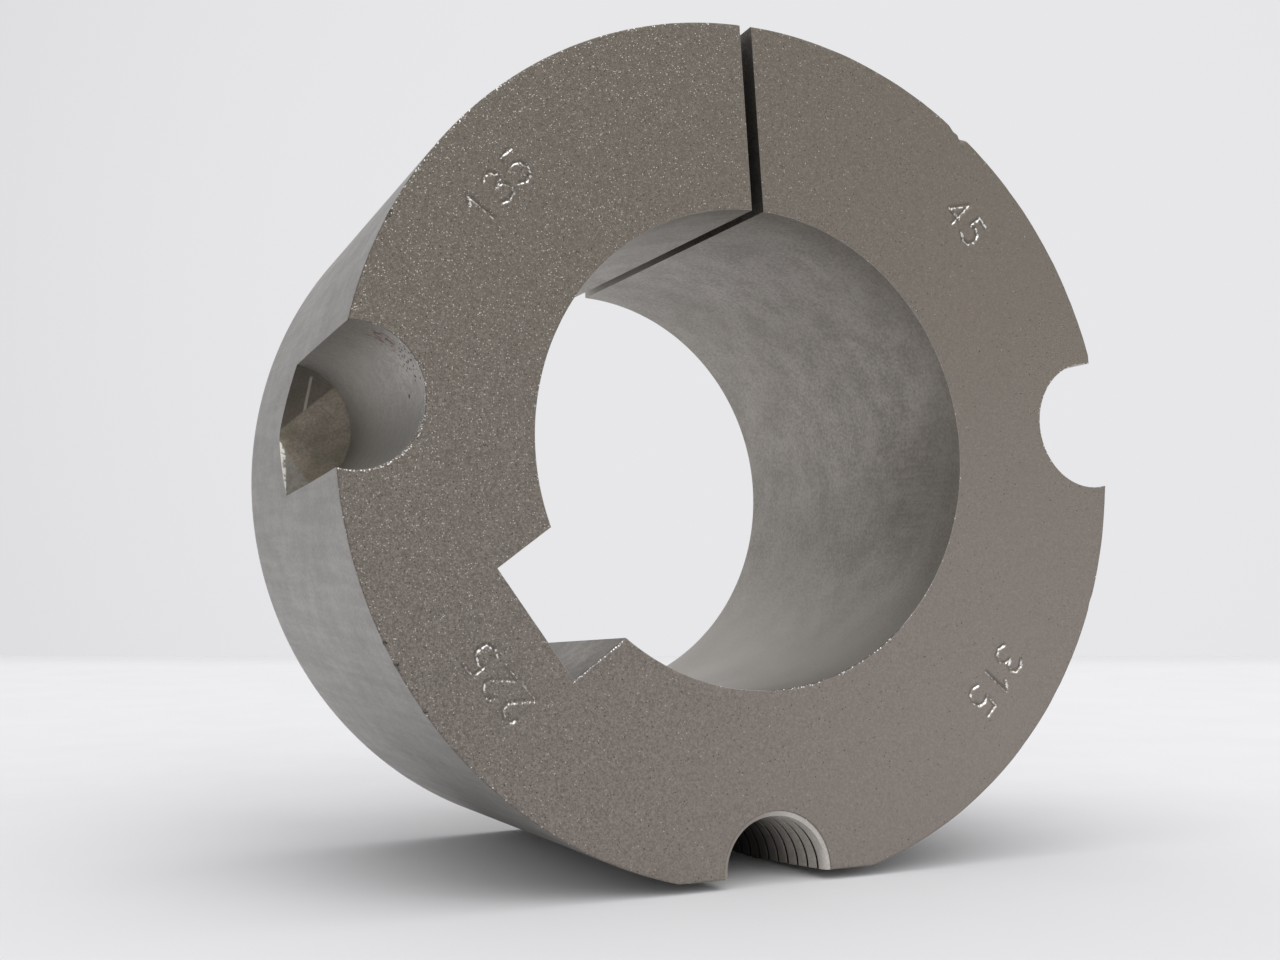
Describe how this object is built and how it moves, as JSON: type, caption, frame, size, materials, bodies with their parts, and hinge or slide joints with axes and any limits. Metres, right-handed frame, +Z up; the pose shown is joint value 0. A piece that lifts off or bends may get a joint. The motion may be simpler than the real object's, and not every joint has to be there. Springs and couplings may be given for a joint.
{
  "type": "taper bush",
  "caption": "Split tapered bush with a keyed bore, half-round screw holes in its rim and a saw slit; drawn into a tapered hub, it closes and grips the shaft.",
  "frame": {"origin": "on the surface that the bush rests on, under the middle of its overall box", "axes": "+Z up; large end face towards -Y and leaning back by 4 degrees, because the bush lies on its taper; saw slit at the top, tapped half-hole underneath"},
  "size_m": [0.0854, 0.05, 0.0851],
  "materials": {
    "sintered_steel": "sintered end faces with a fine sparkling grain; taper, bore and drilled walls machined smooth and left bare"
  },
  "bodies": {
    "root": {"taper_bush": "sintered_steel"}
  },
  "joints": []
}
